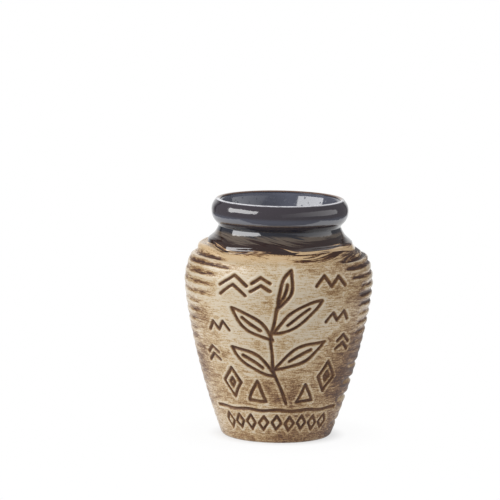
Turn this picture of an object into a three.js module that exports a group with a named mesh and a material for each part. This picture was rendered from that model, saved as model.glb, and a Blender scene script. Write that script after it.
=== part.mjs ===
// Ribbed stoneware mate cup: a jar-shaped clay body with a rolled lip, a poured glaze lining and a
// dipped glaze rim. Millimetres, +Z up, with the origin at the centre of the resting plane. The
// smooth panel left for carving faces -Y, and thrown ribs run round the rest of the wall.
import * as THREE from "three";

// Foot
const FOOT_RADIUS = 21.75; // outer edge of the flat ring that the cup stands on
const FOOT_RING_WIDTH = 4;
const FOOT_RECESS = 1.5; // hollow under the floor, inside the ring
const FOOT_ROUNDING = 1.9;

// Outside of the clay, its heights stacked from the resting plane up
const WALL_FLARE = 22; // degrees from upright where the wall leaves the foot
const BELLY_RADIUS = 40; // the widest circle, over the ribs
const BELLY_HEIGHT = 67.3;
const EDGE_INSET = 2.7; // rounded edge of the shoulder, in from the belly
const EDGE_HEIGHT = 9.9; // belly to that edge
const SHOULDER_SLOPE = 59; // degrees from upright where the shoulder leaves its edge
const SHOULDER_HEIGHT = 12.2; // edge to neck
const NECK_RADIUS = 25.55;
const NECK_HEIGHT = 2.5;
const LIP_BULGE = 2.8; // how far the rolled lip stands out past the neck
const LIP_UNDER_HEIGHT = 4.3; // neck to the lip's widest circle
const LIP_OVER_HEIGHT = 4.2; // that circle to the crest
const LIP_CREST_INSET = 1.75; // crest of the lip, in from its widest circle
const LIP_EDGE = 1.3; // rounding from the crest into the mouth

// Inside of the clay
const WALL = 3.8;
const FLOOR = 4.5; // clay under the drink, above the foot recess
const FLOOR_FILLET = 7;
const THROAT = 2; // height above the neck at which the mouth has closed in to the upright throat

// Ribs, measured along the wall
const RIB_PITCH = 4;
const RIB_DEPTH = 1.1;
const RIB_START = 5.2; // plain wall below the lowest rib
const RIB_WANDER = 0.5; // how far a rib strays up and down on its way round

// Smooth panel, measured round the wall from the middle of the front
const PANEL_HALF_WIDTH = 38;
const PANEL_STAGGER = 2.5; // by how much the ends of the ribs differ
const PANEL_FADE = 8; // length over which a rib reaches its full depth
const PANEL_NARROWING = 20; // how much further the topmost rib reaches to the front
const SHOULDER_RIBS = 7; // topmost ribs, which close in over the panel

// Glaze
const GLAZE = 0.5;
const GLAZE_EDGE = 0.12; // glaze left at the thin lower edge
const GLAZE_SEAT = 0.15; // clearance between the clay and the glaze
const GLAZE_RUN = 10.8; // how far the rim glaze runs down the shoulder from the neck
const GLAZE_WAVE = 0.8; // rise and fall of its lower edge
const GLAZE_SEAM = 0.3; // clearance between the rim glaze and the lining
const WAVE_COUNT = 3; // slow waves of the lower edge round the cup
const RUN_COUNT = 7; // quicker runs on top of them
const RUN_SHARE = 0.4; // share of the rise that is due to the runs

// Shape factors of the wall's curves, as shares of each curve's own height
const FOOT_TENSION = 0.35;
const BELLY_TENSION = 0.18;
const RISE_TENSION = 0.28;
const EDGE_TENSION = 0.11;
const SHOULDER_TENSION = 0.98;
const NECK_TENSION = 0.15;
const INNER_BELLY_TENSION = 0.36;
const THROAT_TENSION = 0.41;

// Each rib rises slowly from its valley to its crest and drops quickly to the next valley: the
// rings of a rib as [share of the pitch, share of the depth]
const RIB_RINGS = [[0, 1], [0.34, 0.35], [0.67, 0]];

// Change of phase from one rib to the next, in radians, so that no two neighbours are alike
const STAGGER_STEP = 2.4;
const WANDER_STEP = 0.9;

// Fineness
const SEGMENTS = 40;
const ARC_STEPS = 4;
const EDGE_STEPS = 3;
const SHOULDER_STEPS = 5;
const INNER_SHOULDER_STEPS = 6;
const INNER_WALL_STEPS = 9;

const point = (radius, height) => new THREE.Vector2(radius, height);
const { degToRad, smoothstep } = THREE.MathUtils;

// The clay's outside wall, in three curves: foot to belly, up to the shoulder's edge, and in to the neck
const flare = degToRad(WALL_FLARE);
const footArc = new THREE.EllipseCurve(
  FOOT_RADIUS, FOOT_ROUNDING, FOOT_ROUNDING, FOOT_ROUNDING, -Math.PI / 2, -flare,
);
const wallFoot = footArc.getPoint(1);
const footPull = FOOT_TENSION * BELLY_HEIGHT;
const belly = point(BELLY_RADIUS, BELLY_HEIGHT);
const shoulderEdge = point(BELLY_RADIUS - EDGE_INSET, BELLY_HEIGHT + EDGE_HEIGHT);
const neck = point(NECK_RADIUS, shoulderEdge.y + SHOULDER_HEIGHT);
const slope = degToRad(SHOULDER_SLOPE);
const alongShoulder = (distance) => point(
  shoulderEdge.x - distance * Math.sin(slope), shoulderEdge.y + distance * Math.cos(slope),
);
const wall = new THREE.CurvePath();
wall.add(new THREE.CubicBezierCurve(
  wallFoot,
  point(wallFoot.x + footPull * Math.sin(flare), wallFoot.y + footPull * Math.cos(flare)),
  point(BELLY_RADIUS, BELLY_HEIGHT * (1 - BELLY_TENSION)),
  belly,
));
wall.add(new THREE.CubicBezierCurve(
  belly,
  point(BELLY_RADIUS, BELLY_HEIGHT + RISE_TENSION * EDGE_HEIGHT),
  alongShoulder(-EDGE_TENSION * EDGE_HEIGHT),
  shoulderEdge,
));
wall.add(new THREE.CubicBezierCurve(
  shoulderEdge,
  alongShoulder(SHOULDER_TENSION * SHOULDER_HEIGHT),
  point(NECK_RADIUS, neck.y - NECK_TENSION * SHOULDER_HEIGHT),
  neck,
));
const wallLength = wall.getLength();
const bellyLength = wall.curves[0].getLength();

// The rolled lip, from the top of the neck over the crest to its rounded inner edge
const lipRadius = NECK_RADIUS + LIP_BULGE;
const crestRadius = lipRadius - LIP_CREST_INSET;
const lipWidest = neck.y + NECK_HEIGHT + LIP_UNDER_HEIGHT;
const crest = lipWidest + LIP_OVER_HEIGHT;
const lip = [
  ...new THREE.EllipseCurve(NECK_RADIUS, lipWidest, LIP_BULGE, LIP_UNDER_HEIGHT, -Math.PI / 2, 0)
    .getPoints(ARC_STEPS),
  ...new THREE.EllipseCurve(crestRadius, lipWidest, LIP_CREST_INSET, LIP_OVER_HEIGHT, 0, Math.PI / 2)
    .getPoints(ARC_STEPS).slice(1),
  ...new THREE.EllipseCurve(crestRadius, crest - LIP_EDGE, LIP_EDGE, LIP_EDGE, Math.PI / 2, Math.PI)
    .getPoints(EDGE_STEPS).slice(1),
];

// Points along the wall between two distances from its foot
function alongWall(from, to, steps) {
  const share = (step) => (from + (to - from) * step / steps) / wallLength;
  return Array.from({ length: steps + 1 }, (_, step) => wall.getPoint(share(step)));
}

// A line of points moved sideways, to the right of its direction: away from the clay all the way
// up the outside, over the lip and down the inside. The shift may differ from point to point.
function offset(points, shiftAt) {
  return points.map((here, i) => {
    const before = points[Math.max(i - 1, 0)];
    const after = points[Math.min(i + 1, points.length - 1)];
    const along = after.clone().sub(before).normalize();
    return point(here.x + along.y * shiftAt(i), here.y - along.x * shiftAt(i));
  });
}

// The mouth, which closes in from the lip's inner edge to the upright throat inside the neck
const throat = point(NECK_RADIUS - WALL, neck.y);
const mouth = new THREE.QuadraticBezierCurve(
  lip[lip.length - 1], point(throat.x, throat.y + THROAT), throat,
);

// The inside of the clay, from the mouth down to the middle of the floor. It follows the wall up to
// the belly and takes one smooth curve past the shoulder's edge.
const floorTop = FOOT_RECESS + FLOOR;
const innerHeight = neck.y - BELLY_HEIGHT;
const innerBelly = point(BELLY_RADIUS - WALL, BELLY_HEIGHT);
const innerShoulder = new THREE.CubicBezierCurve(
  throat,
  point(throat.x, neck.y - THROAT_TENSION * innerHeight),
  point(innerBelly.x, BELLY_HEIGHT + INNER_BELLY_TENSION * innerHeight),
  innerBelly,
);
const innerWall = offset(alongWall(0, bellyLength, INNER_WALL_STEPS).reverse(), () => WALL)
  .filter((p) => p.y > floorTop + FLOOR_FILLET);
const wallEnd = innerWall[innerWall.length - 1];
const floorCorner = point(wallEnd.x - (wallEnd.y - floorTop) * Math.tan(flare), floorTop);
const floorFillet = new THREE.QuadraticBezierCurve(
  wallEnd, floorCorner, point(floorCorner.x - FLOOR_FILLET, floorTop),
);
const inside = [
  ...mouth.getPoints(EDGE_STEPS).slice(1),
  ...innerShoulder.getPoints(INNER_SHOULDER_STEPS).slice(1),
  ...innerWall.slice(1),
  ...floorFillet.getPoints(ARC_STEPS).slice(1),
  point(0, floorTop),
];

// A closed solid of revolution whose profile may change with the angle from the front
function revolve(profileAt) {
  const rings = profileAt(0).length;
  const geometry = new THREE.LatheGeometry(profileAt(0), SEGMENTS);
  const places = geometry.getAttribute("position");
  for (let column = 0; column <= SEGMENTS; column += 1) {
    const angle = 2 * Math.PI * column / SEGMENTS;
    profileAt(angle).forEach((p, ring) => {
      places.setXYZ(column * rings + ring, p.x * Math.sin(angle), p.y, p.x * Math.cos(angle));
    });
  }
  return geometry.rotateX(Math.PI / 2);
}

// The ribbed wall at one angle, up to the lowest place that the rim glaze reaches. The ribs fade
// out towards the front, each at its own place, and leave the smooth panel between their ends.
const ribTop = wallLength - GLAZE_RUN - 2 * GLAZE_WAVE;
const ribCount = Math.round((ribTop - RIB_START) / RIB_PITCH);
const ribPitch = (ribTop - RIB_START) / ribCount;

function ribbedWall(angle) {
  const fromFront = Math.min(angle, 2 * Math.PI - angle);
  const points = [wall.getPoint(0)];
  for (let rib = 0; rib < ribCount; rib += 1) {
    const narrowing = PANEL_NARROWING * smoothstep(rib, ribCount - 1 - SHOULDER_RIBS, ribCount - 1);
    const ribEnd = PANEL_HALF_WIDTH - narrowing + PANEL_STAGGER * Math.sin(STAGGER_STEP * rib);
    const wander = RIB_WANDER * Math.sin(2 * angle + WANDER_STEP * rib);
    for (const [share, dent] of RIB_RINGS) {
      const distance = RIB_START + (rib + share) * ribPitch + wander;
      const along = wall.getTangent(distance / wallLength);
      const skin = wall.getPoint(distance / wallLength);
      const depth = RIB_DEPTH * dent * smoothstep(fromFront * skin.x, ribEnd, ribEnd + PANEL_FADE);
      points.push(point(skin.x - along.y * depth, skin.y + along.x * depth));
    }
  }
  return points;
}

// Underside of the foot: a shallow recess inside the flat ring, and the ring's outer rounding
const ringInside = FOOT_RADIUS - FOOT_RING_WIDTH;
const underside = [
  point(0, FOOT_RECESS),
  point(ringInside - FOOT_RECESS, FOOT_RECESS),
  point(ringInside, 0),
  ...footArc.getPoints(ARC_STEPS).slice(0, -1),
];
const glazedShoulder = alongWall(ribTop, wallLength, SHOULDER_STEPS + 1);

const clayProfile = (angle) => [
  ...underside, ...ribbedWall(angle), ...glazedShoulder, ...lip, ...inside,
];

// Glaze on a line of the clay's surface, as a closed profile
function coat(surface, thicknessAt) {
  const under = offset(surface, () => GLAZE_SEAT);
  const over = offset(surface, (i) => GLAZE_SEAT + thicknessAt(i));
  return [...over, ...under.reverse(), over[0]];
}

// The rim glaze covers the lip and runs down the shoulder to a wavy edge, where it thins out
function rimProfile(angle) {
  const wave = (1 - RUN_SHARE) * Math.sin(WAVE_COUNT * angle) + RUN_SHARE * Math.sin(RUN_COUNT * angle);
  const edge = wallLength - GLAZE_RUN - GLAZE_WAVE * wave;
  const shoulder = alongWall(edge, wallLength, SHOULDER_STEPS);
  return coat([...shoulder, ...lip], (i) => (i === 0 ? GLAZE_EDGE : GLAZE));
}

// The lining starts a seam's width below the rim glaze and is closed at the middle of the floor
const seam = mouth.getPointAt(GLAZE_SEAM / mouth.getLength());
const lining = coat([seam, ...inside], () => GLAZE);

const parts = {
  stoneware_body: [clayProfile, 0xcdbb98, 0.55],
  liner_glaze: [() => lining, 0x2a2a2f, 0.12],
  rim_glaze: [rimProfile, 0x26242a, 0.1],
};

const cup = new THREE.Group();
for (const [name, [profileAt, color, roughness]] of Object.entries(parts)) {
  const material = new THREE.MeshStandardMaterial({ color, roughness, metalness: 0 });
  const mesh = new THREE.Mesh(revolve(profileAt), material);
  mesh.name = name;
  cup.add(mesh);
}

export default cup;
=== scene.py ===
"""Mate cup of ribbed stoneware, dressed over its frame: carved clay, a dipped rim and a dark lining.

Lengths are written in millimetres and go into the meshes in metres. The cup stands on z = 0 and its
carved panel faces -Y. Angles are measured from the front, positive to the right. A soft step is written
as a pair, the value where it is 0 and the value where it is 1, and a band as two such pairs.
"""
import math

import bpy
import numpy as np
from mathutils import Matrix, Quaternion, Vector


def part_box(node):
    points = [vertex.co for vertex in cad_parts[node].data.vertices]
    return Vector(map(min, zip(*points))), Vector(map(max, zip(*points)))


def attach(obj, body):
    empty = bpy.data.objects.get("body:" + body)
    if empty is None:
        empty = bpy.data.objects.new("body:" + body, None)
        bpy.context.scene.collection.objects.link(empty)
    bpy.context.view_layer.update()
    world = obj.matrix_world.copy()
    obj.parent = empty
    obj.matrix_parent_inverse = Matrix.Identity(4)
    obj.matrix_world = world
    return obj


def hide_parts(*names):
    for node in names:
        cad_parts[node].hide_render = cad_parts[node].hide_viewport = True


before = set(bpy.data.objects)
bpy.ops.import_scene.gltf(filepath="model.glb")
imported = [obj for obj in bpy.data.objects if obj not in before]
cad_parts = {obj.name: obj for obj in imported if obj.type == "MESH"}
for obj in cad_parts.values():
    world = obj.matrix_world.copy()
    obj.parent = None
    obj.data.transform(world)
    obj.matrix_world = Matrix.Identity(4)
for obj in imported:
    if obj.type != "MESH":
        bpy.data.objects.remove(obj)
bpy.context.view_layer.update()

MM = 0.001
clay_low, clay_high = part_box("stoneware_body")

# Clay outline, with heights stacked down from the crest of the lip and slopes in degrees from upright
CREST = clay_high.z / MM
BELLY_RADIUS = -clay_low.y / MM
NECK_RADIUS = 24.45
FOOT_RADIUS = 21.75
FOOT_RING_WIDTH = 4
FOOT_RECESS = 1.5
FOOT_ROUNDING = 1.9
WALL_FLARE = 22
LIP_RADIUS = 28.35
LIP_OVER = 4.2  # from the lip's widest circle up to the crest
LIP_UNDER = 5.8  # from the groove below the lip up to its widest circle
LIP_CREST_INSET = 2
LIP_EDGE = 0.45  # rounding of the crest
LIP_TILT = 30
NECK_LEAN = 6
NECK_HIDDEN = 2.6  # from the groove up to the end of the neck's curve, inside the lip
SHOULDER_HEIGHT = 15.8
SHOULDER_SLOPE = 59
EDGE_HEIGHT = 9.9  # from the belly up to the edge of the shoulder
EDGE_INSET = 2.7
WALL = 3.8
FLOOR_TOP = 6
FLOOR_FILLET = 7
MOUTH_SLOPE = 17
THROAT_RADIUS = 21.75
THROAT_DEPTH = 13.4
LIP_WIDEST = CREST - LIP_OVER
GROOVE = LIP_WIDEST - LIP_UNDER
NECK = GROOVE + NECK_HIDDEN
EDGE = NECK - SHOULDER_HEIGHT
BELLY = EDGE - EDGE_HEIGHT

# Shares of each wall curve's height that its ends pull over
FOOT_TENSION = 0.35
BELLY_TENSION = 0.18
RISE_TENSION = 0.28
EDGE_TENSION = 0.11
SHOULDER_TENSION = 0.763
NECK_TENSION = 0.316
INNER_BELLY_TENSION = 0.36
THROAT_TENSION = 0.41

# Lengths that the ends of the lip's and the mouth's curves pull over
LIP_FOOT_PULL = (1.9, 1.2)
LIP_UNDER_PULL = 3.2
LIP_OVER_PULL = 2.3
LIP_CREST_PULL = 0.9
MOUTH_PULL = 6
THROAT_PULL = 4

# Thrown ribs, counted from the foot up, with shares of the pitch between them
RIB_PITCH = 3.93
RIB_DEPTH = 0.85
RIB_START = 5.2
RIB_RAMP = 2
RIB_TOP = 19
RIB_TOP_FADE = (0.7, 0.3)
RIB_BELOW = 0.35  # share of a rib that lies below its valley
RIB_SLOPE = 0.6
RIB_LEDGE = 0.3
RIB_SWAYS = ((0.1, 2, 9), (0.06, 5, 5))  # share, waves round the cup, way up the wall in a radian
RIGHT_SIDE = (-0.25, 0.25)  # sines of the angles where the left side turns into the right side
LEFT_LIFT = 0.32
LEFT_LIFT_SPAN = (55, 78)

# Where the ribs start beside the panel. The topmost ones close in over it
LEFT_END = 39
LEFT_CLOSING = 21
LEFT_CLOSING_RIBS = (11, 20)
LEFT_FADE = 8
RIGHT_END = 42
RIGHT_CLOSING = 19
RIGHT_CLOSING_RIBS = (15, 20)
RIGHT_FADE = 5
END_STAGGER = 3
STAGGER_TURN = 2.4
LAST_END_ANGLE = 1.02  # radians from the front at which every rib has started

# Ribs that stand out from the others
POOLED_RIBS = (19, 18, 15)
STEP_RIBS = (0, 3, 5, 7)
TOP_RIBS = (16, 18)
LOW_RIBS = (12, 8)
LAST_LOW_RIB = 11

# Depth of the ribs, as shares. A wave is its size, its turn from rib to rib, its count round the cup and
# its turn from side to side
MEAN_DEPTH = 0.75
DEPTH_WAVES = ((0.15, 2.3, 0, 1), (0.12, 1.9, 3, 0))
POOLED_DEPTH = 0.3
STEP_DEPTH = 1.6
BETWEEN_STEPS_DEPTH = 0.3
LOW_LEFT_DEPTH = 0.45
LEFT_DEPTH = 0.5
DEPTH_LIMIT = 1.5

# Thick ledge of clay under the glaze at the left
LEDGE_HEIGHT = 1.8
LEDGE_BAND = ((4.8, 2.2), (-1.2, 1.6))
LEDGE_SIDE = (0.55, 0.95)  # sines of angles to the left

# Wash in the ribs, from 0 to 1, and its spread about a valley in shares of the pitch
LEFT_WASH = 0.7
RIGHT_WASH = 0.38
UPPER_WASH = 0.25
UPPER_RIBS = (9, 19)
WASH_WAVES = ((0.14, 4.1, 0, 2), (0.12, 1, 4, 0))
POOLED_WASH = 0.3
LEFT_WASH_LIMIT = 0.65
TOP_WASH_LIMIT = 0.95
RIGHT_WASH_LIMIT = 1.1
WASH_RANGE = (0.05, 1)
FAR_LEFT = (0.88, 0.99)  # sines of angles to the left
FAR_LEFT_LOSS = 0.6
LEFT_LOSS = 0.12
LOW_LEFT_LOSS = 0.65
LOW_WASH_RIBS = (12, 9)
CRISP_WASH = ((0.24, 0.1), (-0.36, 0.02))
BROAD_WASH = ((0.42, 0.08), (-0.34, -0.04))
SOFT_WASH = ((0.52, 0.02), (-0.42, -0.02))

# Wash that is wiped off the ridges between the ribs, which also stands for a painted highlight on their
# crests, and a painted highlight on the lips of the low steps, where they catch the light
RIDGE_ABOVE = (0.45, 0.65)
RIDGE_BELOW = (-0.05, -0.25)
LEFT_WIPE = 0.3
LEFT_WIPE_RIBS = (7, 11)
RIGHT_RIDGE_WIPE_AND_HIGHLIGHT = 0.34
LOW_RIDGE_WIPE_AND_HIGHLIGHT = 0.2
STEP_LIP_HIGHLIGHT_BAND = ((0.06, -0.06), (-0.34, -0.2))
STEP_LIP_HIGHLIGHT = 0.6

# Carved strokes. Those of the panel are given by places (across, up) on it
CARVE_DEPTH = 0.75
CARVE_WIDTH = 1.5
CARVE_EDGE = (0.2, -0.6)
CARVE_FAR = 5
BURR_HEIGHT = 0.14
BURR_BAND = ((0.1, 0.4), (1.2, 0.5))
PANEL_RADIUS = 36
PANEL_ANGLE = 70
PANEL_LOW = 1
PANEL_HIGH = 82
HAND_SWAY = 0.3
HAND_SHORT_WAVES = (2.3, 2.6)
HAND_LONG_WAVES = (7, 9)
STEM = ((5, 18), (-8, 40), (1, 64))
TOP_LEAF = ((0.5, 61), (5, 77))
TOP_LEAF_FULLNESS = 0.26
TOP_VEIN = ((1.6, 65), (3.4, 71))
SIDE_LEAVES = (
    ((-1.8, 47), (-19, 60)),
    ((-1.6, 50), (17, 64)),
    ((-0.6, 31), (-20, 43)),
    ((-0.9, 34), (20, 46)),
)
SIDE_LEAF_FULLNESS = 0.27
VEIN_SHARES = (0.28, 0.74)
CHEVRON_COUNT = 2
CHEVRONS = (  # middle, half width, rise, pitch
    ((-18, 66), 5.5, 4, 4),
    ((-7, 68), 3.6, 2.8, 3.4),
    ((30, 42), 3.4, 2.8, 3.4),
    ((-31, 36), 3.4, 2.8, 3.4),
)
ZIGZAG_COUNT = 4
ZIGZAGS = (((15, 70), (3.2, 4.2)), ((20, 55), (2.6, 3.6)), ((-31, 50), (2.6, 3.6)))  # start, step
LOZENGES = (((-22, 27), 4.6, 6.5), ((24, 30), 4.4, 6.5))  # middle, half width, half height
LOZENGE_EYE = (1.2, 2)
TRIANGLES = (((-14, 19), (-9.5, 28), (-5, 19)), ((10, 19), (14, 27), (18, 19)))
BAND_HEIGHT = 14.6
BAND_ANGLE = 58
ROW_HEIGHT = 8.6
ROW_PITCH = 7.2
ROW_SIDE_COUNT = 4
ROW_LOZENGE = (2.6, 3.2)

# Rim glaze, with distances up the wall from its lower edge and angles in radians
GLAZE = 0.5
GLAZE_SEAT = 0.15
GLAZE_UNDER = 0.3
GLAZE_RUN = 13.1
GLAZE_WAVE = 0.8
WAVE_SHARES = ((0.6, 3), (0.4, 7))  # share and waves round the cup
GLAZE_LEFT_RISE = 2.6
LEFT_RISE_SIDE = (0.64, 1)  # sines of angles to the left
GLAZE_RIGHT_RISE = 2.4
RIGHT_RISE_BAND = ((-1.05, 0.52), (1.4, 0.96))
GLAZE_LIFT = 0.03
EDGE_FILM = 0.3  # share of the full thickness
EDGE_FILM_SPAN = (-0.2, 1)
ROLL_FILM = 1.3
ROLL_START = 1.1
ROLL_RISE = 1.9
ROLL_SETTLING = 0.6
ROLL_END = 8
GROOVE_FILL = 0.9
STREAK_HEIGHT = 0.07
STREAK_PITCH = 3.1
STREAK_BAND = ((0.3, 1.5), (5, 2.5))

# Brush strokes round the shoulder. On the clay they rise again at the right
BRUSH_FALL = 7
BRUSH_TURN = 0.4
BRUSH_WAVE = 1.5
BRUSH_WAVE_COUNT = 3
BRUSH_RISE = 7
BRUSH_RISE_BAND = ((0.1, 1.1), (2.6, 1.6))

# Fineness of the meshes
CURVE_STEPS = 160
WALL_SPACING = 0.4
FOOT_STEPS = 7
RECESS_STEPS = 5
LIP_STEPS = 14
CREST_STEPS = 13
INNER_STEPS = 12
INNER_WALL_SKIP = 8
HIDDEN_LIP_SKIP = 3
HIDDEN_INSIDE_SKIP = 2
FILLET_STEPS = 8
NECK_STEPS = 40
GROOVE_STEPS = 10
STEM_STEPS = 24
LEAF_STEPS = 14
BAND_STEPS = 30
FRONT_ANGLE = 60
FRONT_SHARE = 0.64
CLAY_STEPS = 330
COAT_STEPS = 180
MERGE_DISTANCE = 0.004
OFF_WALL = -1.0  # mark of points off the clay's outer wall

# Zones of the clay's finish: heights, places across the cup, distances below the glaze and from strokes
LOW_WALL = (54, 22)
LEFT_FLANK = (-16, -32)
RIGHT_FLANK = (14, 34)
LOW_WALL_ACROSS = (-20, 4)
UNDER_SHOULDER = (70, 58)
FOOT_RING = (7, 2)
CARVED_BAND = (17, 12)
RIGHT_PATCH = ((52, 42), (10, 24))
LEFT_PATCH = ((56, 46), (20, 30))
DRY_ACROSS = (12, 26)
DRY_HEIGHT = (60, 44)
GLAZE_STAIN = (1.6, 0)
STAIN_RAGGED = 2
SHORE_FAR = 40
SHORT_STREAKS = (4.5, 0.5)
LONG_STREAKS = (8, 3)
LONG_STREAKS_ACROSS = (1, 11)
GOLDEN_SHORE = (8, 1.5)
STROKE_EDGE = (0.3, -0.45)
STROKE_RAGGED = 0.5
STROKE_HALO = ((1.7, 0.5), (-0.1, 0.35))

# Sizes of the clay's marks along x, y and z, and the levels of their noise between which they come in
MEAN_NOISE = 0.5
BLOTCH = (20, 20, 14)
BLOTCH_LEVELS = (0.42, 0.75)
PATCH = (11, 11, 4)
PATCH_SHIFT = (3, 1, 2)
WIPE = (14, 14, 1.3)
FINE_WIPE = (3.2, 3.2, 0.45)
GRIT = (0.55, 0.55, 0.4)
SWEEP = (16, 16, 0.8)
SHORT_STREAK_LEVELS = (0.54, 0.68)
LONG_STREAK_LEVELS = (0.42, 0.58)
HALO_LEVELS = (0.25, 0.5)
RIB_FINE_LEVELS = (0.3, 0.65)
STROKE_PATCH_LEVELS = (0.65, 0.35)

# Wash that a zone or a mark adds or loses, where 0 is bare clay and 1 is dark brown
BARE_WASH = 0.06
# Towards the bottom and the right: partly oxide wash, partly painted shade
LOW_WALL_WASH_AND_SHADE = 0.26
LOW_RIGHT_WASH_AND_SHADE = 0.14
LEFT_FLANK_WASH = 0.06
RIGHT_FLANK_WASH_AND_SHADE = 0.27
UNDER_SHOULDER_WASH_AND_SHADE = 0.1
FOOT_RING_WASH = 0.2
CARVED_BAND_LOSS = 0.1
RIGHT_PATCH_WASH_AND_SHADE = 0.2
LEFT_PATCH_WASH = 0.07
BLOTCH_WASH = 0.34
PATCH_WASH = 0.5
PATCH_EVERYWHERE = 0.4
WIPE_WASH = 0.6
FINE_WIPE_WASH = 1.5
GRIT_WASH = 1.1
HALO_LOSS = 0.3
RIB_WASH = 0.68
RIB_FINE_WASH = 0.45
STROKE_WASH = 0.8
STROKE_PATCH_WASH = 0.18
STROKE_GRIT_WASH = 0.7
STAIN_WASH = 0.5
# less stain and streaking at the left: the ledge's tan, and a painted highlight on it
STAIN_LEFT_HIGHLIGHT = 0.85
SHORT_STREAK_WASH = 0.5
SHORT_STREAK_LEFT_HIGHLIGHT = 0.6
LONG_STREAK_WASH = 0.85

# Colour, gloss and grain of the clay
GOLDEN_SHARE = 0.75
GOLDEN_UNTIL = (0.35, 0.7)
CLAY_ROUGHNESS = 0.36
WASH_ROUGHNESS = 0.2
ROUGH_WASH = (0.2, 0.9)
CLAY_COAT = 0.5
CLAY_COAT_ROUGHNESS = 0.18
WASHED_COAT_LOSS = 0.4
UNCOATED_WASH = (0.45, 0.85)
DRY_COAT_LOSS = 0.75
FINE_RELIEF = 0.5
GRIT_RELIEF = 0.35
WIPE_RELIEF = 0.6
CLAY_RELIEF = 0.16
CLAY_BUMP = 0.6

# Marks and zones of the glazes. A move is how far a mark shifts the colours along the shoulder
GLAZE_SWAY = (18, 18, 2.2)
SWAY_MOVE = 5
GLAZE_FINE = (7, 7, 0.6)
FINE_MOVE = 4
GLAZE_STREAK = (46, 46, 1.4)
GLAZE_STREAK_SHIFT = (5, 2, 7)
STREAK_MOVE = 15
RIGHT_GLAZE = (6, 24)
RIGHT_MOVE = 2.2
MOVES_END = (11, 7)
FRONT_GLAZE = (4, -6)
# Painted highlight: a pale line along the front of the crest
FRONT_CREST_HIGHLIGHT = ((-1.0, -0.6), (0.5, 0.2))
FRONT_HIGHLIGHT_SHARE = 0.8
BACK_CREST_LINE = ((-0.5, -0.1), (1.3, 0.8))
BACK_CREST_SHARE = 0.9
CREST_GAPS = (0.2, 0.5)
RIM_RIPPLE = (7, 7, 4)
RIM_PEEL = (2.2, 2.2, 1.4)
PEEL_SHARE = 0.28
RIM_BUMP = 0.45
LINING_CLOUD = (12, 12, 12)
CLOUD_LEVELS = (0.3, 0.8)
LINING_BLUE = 0.65
CLOUD_BLUE = 0.4
LINING_RIPPLE = (9, 9, 9)
LINING_BUMP = 0.3
PIT_PITCH = 1.5
PIT_RADIUS = 0.5
PIT_SHARE = 0.5
PIT_SHARPNESS = 0.01
PIT_CORE = 0.5
PIT_DEPTH = 0.5
PIT_ROUGHNESS = 0.8
GLAZE_RELIEF = 0.25
GLAZE_ROUGHNESS = 0.08
GLAZE_IOR = 2.1

# Camera, placed by where the cup stands in a picture of 500 x 500 pixels
PICTURE = 500
AXIS_PIXEL = (279.3, 314.53)
MIDDLE = 51
ELEVATION = 9.13
DISTANCE = 1557
PIXEL = 0.425
ROLL = 0.94
SENSOR = 36

# Studio: levels of the room's light, the floor and the backdrop
ROOM_SEEN = 1.0
ROOM_GLOSS = 0.2
ROOM_LIGHT = 0.6
ROOM_COLOUR = (1, 1, 1.04, 1)
FLOOR_MIDDLE = (0, 280, 0)
FLOOR_SIZE = (500, 730)
FLOOR_COLOUR = (0.85, 0.85, 0.85, 1)
SHADOW_GLOW = 0.62
SHADOW_RINGS = ((22, 31, 0.33), (31, 52, 0.05))  # inner and outer radius, glow gained
BACKDROP_MIDDLE = (-400, 2200, 900)
BACKDROP_SIZE = (3300, 2400)
BACKDROP_BAND = ((-2050, -500), (1300, 500))
LAMP_FADE = (0.1, 1.0)
LAMP_FADE_LEAST = 0.1
BLACK = (0, 0, 0, 1)
WHITE = (1, 1, 1, 1)


def cubic(start, pull_start, pull_end, end, steps=CURVE_STEPS):
    """Points along a cubic curve, as rows of (radius, height)."""
    ends = np.array([start, pull_start, pull_end, end], float)
    t = np.linspace(0, 1, steps)[:, None]
    return ((1 - t) ** 3 * ends[0] + 3 * (1 - t) ** 2 * t * ends[1]
            + 3 * (1 - t) * t ** 2 * ends[2] + t ** 3 * ends[3])


def curve(start, pull, end, steps):
    """Points along a line bent towards a pull point."""
    start, pull, end = (np.array(p, float) for p in (start, pull, end))
    t = np.linspace(0, 1, steps)[:, None]
    return (1 - t) ** 2 * start + 2 * (1 - t) * t * pull + t ** 2 * end


def arc(centre, radii, start, end, steps):
    """Points along an arc of an ellipse, from one angle to another in degrees."""
    turn = np.radians(np.linspace(start, end, steps))
    return np.column_stack([centre[0] + radii[0] * np.cos(turn), centre[1] + radii[1] * np.sin(turn)])


def up_slope(lean):
    """A step of one millimetre up a slope that leans out from upright by some degrees."""
    turn = math.radians(lean)
    return np.array([math.sin(turn), math.cos(turn)])


def lengths(points):
    """Distance of each point along its line."""
    steps = np.linalg.norm(np.diff(points, axis=0), axis=1)
    return np.concatenate([[0], np.cumsum(steps)])


def at_lengths(points, places):
    """Points of a line at the given distances along it."""
    run = lengths(points)
    return np.column_stack([np.interp(places, run, points[:, k]) for k in (0, 1)])


def normals(points):
    """Unit vectors square to a line, to the right of its direction."""
    along = np.gradient(points, axis=0)
    along /= np.linalg.norm(along, axis=1)[:, None]
    return np.column_stack([along[:, 1], -along[:, 0]])


def smooth(value, low, high):
    """0 at low, 1 at high and a soft step between them."""
    t = np.clip((value - low) / (high - low), 0, 1)
    return t * t * (3 - 2 * t)


def band(value, rise, fall):
    """1 between two soft steps and 0 outside them."""
    return smooth(value, *rise) * smooth(value, *fall)


def blend(a, b, share):
    """A value on the way from a to b."""
    return a + (b - a) * share


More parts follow.
